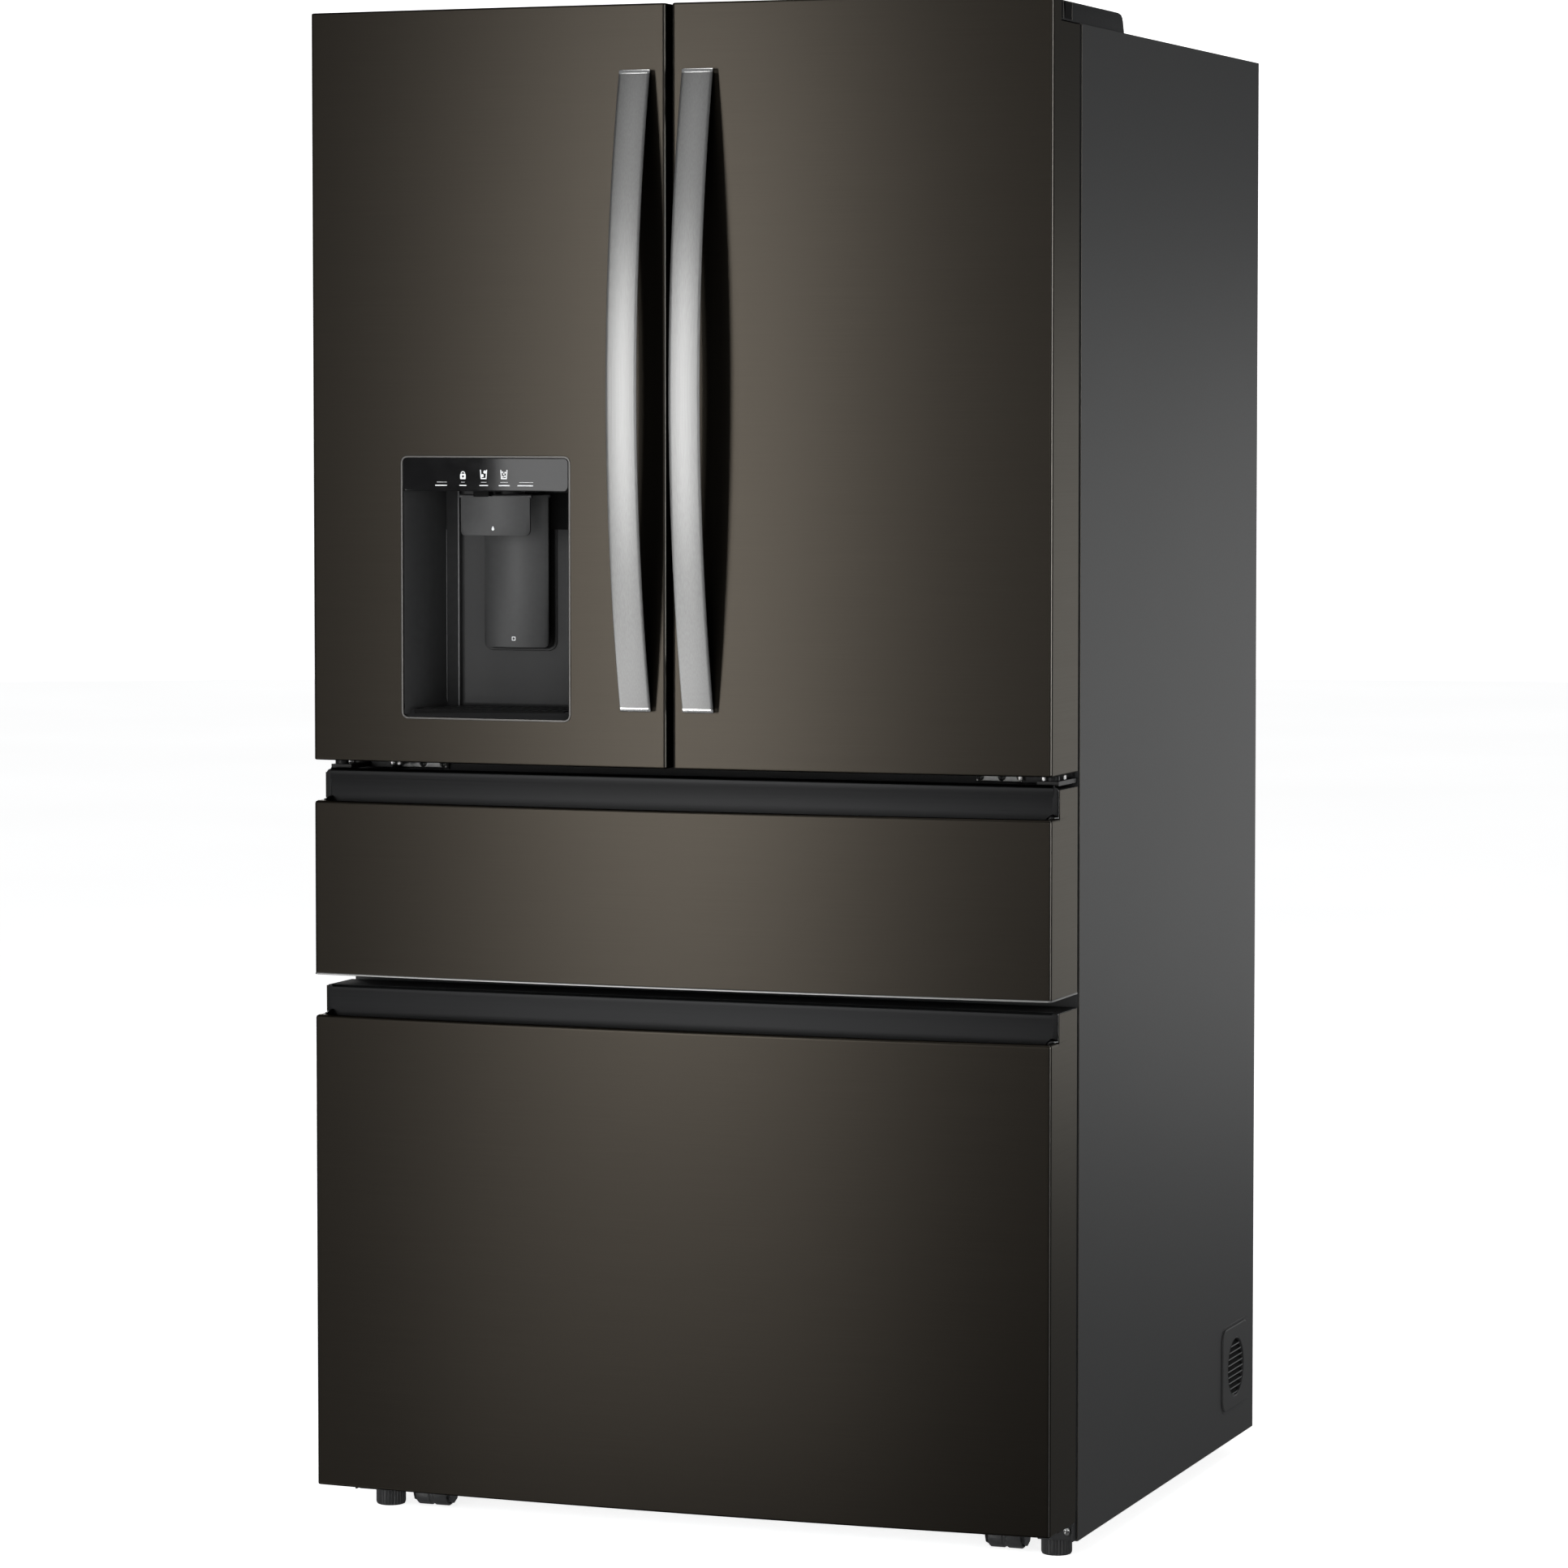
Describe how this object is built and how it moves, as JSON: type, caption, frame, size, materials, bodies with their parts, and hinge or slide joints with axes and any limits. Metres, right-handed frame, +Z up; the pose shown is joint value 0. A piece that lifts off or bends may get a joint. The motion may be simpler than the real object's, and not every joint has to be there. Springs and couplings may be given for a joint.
{
  "type": "french door refrigerator",
  "caption": "Upright refrigerator with hinged doors over full-width drawers, bowed bar handles, recessed pulls and a water and ice dispenser in the left door.",
  "frame": {"origin": "bottom centre of the bounding box, on the floor", "axes": "+Z up, +X to the right seen from the front, +Y to the back"},
  "size_m": [0.908, 0.9382, 1.7793],
  "materials": {
    "black_stainless": "satin",
    "handle_steel": "satin",
    "cabinet_paint": "matte",
    "dark_trim": "satin",
    "black_plastic": "satin",
    "gloss_black": "gloss",
    "white_liner": "satin",
    "foamed_liner": "satin",
    "insulation_foam": "matte",
    "clear_plastic": "gloss",
    "shelf_glass": "polished",
    "zinc_steel": "satin",
    "seal_rubber": "matte",
    "black_enamel": "satin",
    "copper_tube": "satin",
    "fin_aluminium": "satin"
  },
  "bodies": {
    "cabinet": {"cabinet_wrapper": "cabinet_paint", "cabinet_foam": "insulation_foam", "fresh_food_liner": "white_liner", "pantry_liner": "white_liner", "freezer_liner": "white_liner", "base_chassis": "zinc_steel", "rear_panel": "zinc_steel", "rear_cover": "zinc_steel", "compressor": "black_enamel", "condenser_coil": "copper_tube", "fan_shroud": "black_plastic", "air_duct": "white_liner", "evaporator_cover": "white_liner", "evaporator_coil": "fin_aluminium", "shelf_upper": "shelf_glass", "shelf_lower": "shelf_glass", "crisper_cover": "shelf_glass", "crisper_left": "clear_plastic", "crisper_right": "clear_plastic", "hinge_top_left": "zinc_steel", "hinge_cover_left": "dark_trim", "hinge_mid_left": "zinc_steel", "hinge_top_right": "zinc_steel", "hinge_cover_right": "dark_trim", "hinge_mid_right": "zinc_steel"},
    "left_door": {"left_door_skin": "black_stainless", "left_door_core": "foamed_liner", "left_door_gasket": "seal_rubber", "left_handle": "handle_steel", "dispenser_housing": "black_plastic", "dispenser_panel": "gloss_black", "drip_tray": "black_plastic", "ice_box": "white_liner"},
    "right_door": {"right_door_skin": "black_stainless", "right_door_core": "foamed_liner", "right_door_gasket": "seal_rubber", "right_handle": "handle_steel", "right_door_bins": "clear_plastic"},
    "mullion_flap": {"mullion_flap": "dark_trim"},
    "water_paddle": {"water_paddle": "black_plastic"},
    "ice_paddle": {"ice_paddle": "black_plastic"},
    "pantry_drawer": {"pantry_skin": "black_stainless", "pantry_core": "foamed_liner", "pantry_pull": "dark_trim", "pantry_gasket": "seal_rubber", "pantry_bin": "clear_plastic"},
    "pantry_rails": {"pantry_rails": "zinc_steel"},
    "freezer_drawer": {"freezer_skin": "black_stainless", "freezer_core": "foamed_liner", "freezer_pull": "dark_trim", "freezer_gasket": "seal_rubber", "freezer_basket": "white_liner"},
    "freezer_rails": {"freezer_rails": "zinc_steel"},
    "condenser_fan": {"condenser_fan": "black_plastic"},
    "foot_left": {"foot_left": "black_plastic"},
    "foot_right": {"foot_right": "black_plastic"},
    "roller_front_left": {"roller_front_left": "black_plastic"},
    "roller_front_right": {"roller_front_right": "black_plastic"},
    "roller_rear_left": {"roller_rear_left": "black_plastic"},
    "roller_rear_right": {"roller_rear_right": "black_plastic"}
  },
  "joints": [
    {"name": "left_door_hinge", "type": "hinge", "parent": "cabinet", "child": "left_door", "pos_m": [-0.44, -0.3546, 1.34], "axis": [0, 0, -1], "range_deg": [0, 115]},
    {"name": "right_door_hinge", "type": "hinge", "parent": "cabinet", "child": "right_door", "pos_m": [0.44, -0.3546, 1.34], "axis": [0, 0, 1], "range_deg": [0, 115]},
    {"name": "mullion_flap_hinge", "type": "hinge", "parent": "left_door", "child": "mullion_flap", "pos_m": [-0.04, -0.2806, 1.3175], "axis": [0, 0, -1], "range_deg": [0, 90]},
    {"name": "water_paddle_hinge", "type": "hinge", "parent": "left_door", "child": "water_paddle", "pos_m": [-0.227, -0.3886, 1.217], "axis": [1, 0, 0], "range_deg": [0, 12]},
    {"name": "ice_paddle_hinge", "type": "hinge", "parent": "left_door", "child": "ice_paddle", "pos_m": [-0.225, -0.3306, 1.217], "axis": [1, 0, 0], "range_deg": [0, 3]},
    {"name": "pantry_slide", "type": "slide", "parent": "cabinet", "child": "pantry_drawer", "axis": [0, -1, 0], "range_m": [0, 0.4]},
    {"name": "pantry_rails_slide", "type": "slide", "parent": "cabinet", "child": "pantry_rails", "axis": [0, -1, 0], "range_m": [0, 0.2]},
    {"name": "freezer_slide", "type": "slide", "parent": "cabinet", "child": "freezer_drawer", "axis": [0, -1, 0], "range_m": [0, 0.42]},
    {"name": "freezer_rails_slide", "type": "slide", "parent": "cabinet", "child": "freezer_rails", "axis": [0, -1, 0], "range_m": [0, 0.21]},
    {"name": "condenser_fan_spin", "type": "hinge", "parent": "cabinet", "child": "condenser_fan", "pos_m": [0.048, 0.3534, 0.124], "axis": [1, 0, 0], "continuous": true},
    {"name": "foot_left_turn", "type": "hinge", "parent": "cabinet", "child": "foot_left", "pos_m": [-0.42, -0.2666, 0.01], "axis": [0, 0, 1], "continuous": true},
    {"name": "foot_right_turn", "type": "hinge", "parent": "cabinet", "child": "foot_right", "pos_m": [0.42, -0.2666, 0.01], "axis": [0, 0, 1], "continuous": true},
    {"name": "roller_front_left_spin", "type": "hinge", "parent": "cabinet", "child": "roller_front_left", "pos_m": [-0.361, -0.2666, 0.0195], "axis": [1, 0, 0], "continuous": true},
    {"name": "roller_rear_left_spin", "type": "hinge", "parent": "cabinet", "child": "roller_rear_left", "pos_m": [-0.361, 0.4334, 0.017], "axis": [1, 0, 0], "continuous": true},
    {"name": "roller_front_right_spin", "type": "hinge", "parent": "cabinet", "child": "roller_front_right", "pos_m": [0.361, -0.2666, 0.0195], "axis": [1, 0, 0], "continuous": true},
    {"name": "roller_rear_right_spin", "type": "hinge", "parent": "cabinet", "child": "roller_rear_right", "pos_m": [0.361, 0.4334, 0.017], "axis": [1, 0, 0], "continuous": true}
  ],
  "couplings": [
    {"joint": "pantry_rails_slide", "follows": "pantry_slide", "ratio": 0.5},
    {"joint": "freezer_rails_slide", "follows": "freezer_slide", "ratio": 0.5}
  ]
}
